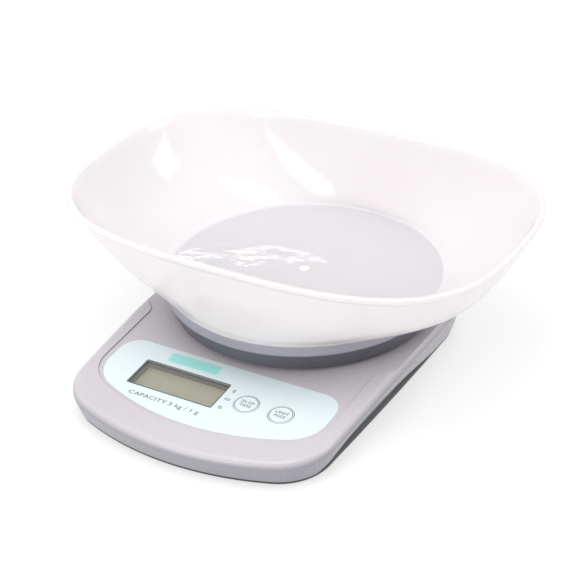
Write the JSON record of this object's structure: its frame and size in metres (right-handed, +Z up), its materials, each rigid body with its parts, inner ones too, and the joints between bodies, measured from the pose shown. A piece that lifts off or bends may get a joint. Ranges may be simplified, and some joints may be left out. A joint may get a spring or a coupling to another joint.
{
  "type": "kitchen scale",
  "caption": "Battery kitchen scale: wedge-shaped housing with a sloping display panel and push keys, a round weighing platform, and a loose translucent bowl with a rounded rectangular rim.",
  "frame": {"origin": "on the table, under the middle of the whole object's box", "axes": "+X to the right of the display, the object's longest side; +Y towards the back; +Z up"},
  "size_m": [0.2407, 0.2198, 0.0818],
  "materials": {
    "lilac_abs": "fine satin moulded ABS",
    "grey_abs": "fine spark-eroded texture",
    "label_film": "printed overlay film, satin gloss",
    "clear_acrylic": "polished clear plastic",
    "bezel_plastic": "matt",
    "lcd_glass": "grey-green reflective display",
    "silicone_strip": "matt",
    "circuit_board": "solder mask",
    "black_resin": "glossy drop",
    "screw_steel": "zinc plated",
    "switch_plastic": "moulded",
    "white_abs": "moulded",
    "cell_aluminium": "milled",
    "white_sealant": "soft sealant",
    "plate_steel": "pressed",
    "bracket_plastic": "glass filled, moulded",
    "platform_abs": "satin blue-grey",
    "foot_rubber": "soft",
    "cell_wrap": "printed sleeve",
    "nickel_spring": "nickel plated",
    "milky_pp": "translucent polypropylene, glossy"
  },
  "bodies": {
    "base": {"battery_front": "cell_wrap", "battery_rear": "cell_wrap", "board_screws": "screw_steel", "cell_base_plate": "plate_steel", "cell_base_screws": "screw_steel", "chip_coating": "black_resin", "contact_plates": "nickel_spring", "contact_springs": "nickel_spring", "display_bezel": "bezel_plastic", "display_glass": "lcd_glass", "display_window": "clear_acrylic", "gauge_potting": "white_sealant", "housing_screws": "screw_steel", "load_cell": "cell_aluminium", "lower_housing": "grey_abs", "main_board": "circuit_board", "overload_stop": "screw_steel", "panel_label": "label_film", "rubber_feet": "foot_rubber", "tare_switch": "switch_plastic", "unit_switch": "switch_plastic", "upper_housing": "lilac_abs", "zebra_strip": "silicone_strip"},
    "platform": {"weighing_platform": "platform_abs", "platform_bracket": "bracket_plastic", "platform_screws": "screw_steel", "cell_top_plate": "plate_steel", "cell_top_screws": "screw_steel"},
    "bowl": {"bowl": "milky_pp"},
    "tare_button": {"tare_key": "label_film", "tare_plunger": "white_abs", "tare_actuator": "switch_plastic"},
    "unit_button": {"unit_key": "label_film", "unit_plunger": "white_abs", "unit_actuator": "switch_plastic"},
    "battery_door": {"battery_door": "grey_abs"}
  },
  "joints": [
    {"name": "platform_press", "type": "slide", "parent": "base", "child": "platform", "axis": [0, 0, 1], "range_m": [-0.0005, 0], "stiffness_N_per_m": 40000, "deforming": ["load_cell"]},
    {"name": "bowl_lift", "type": "slide", "parent": "platform", "child": "bowl", "axis": [0, 0, 1], "range_m": [0, 0.12]},
    {"name": "tare_press", "type": "slide", "parent": "base", "child": "tare_button", "axis": [0, -0.0802, 0.9968], "range_m": [-0.0004, 0], "stiffness_N_per_m": 5000},
    {"name": "unit_press", "type": "slide", "parent": "base", "child": "unit_button", "axis": [0, -0.0802, 0.9968], "range_m": [-0.0004, 0], "stiffness_N_per_m": 5000},
    {"name": "battery_door_hinge", "type": "hinge", "parent": "base", "child": "battery_door", "pos_m": [0, 0.0511, 0.00155], "axis": [1, 0, 0], "range_deg": [-95, 0]}
  ]
}
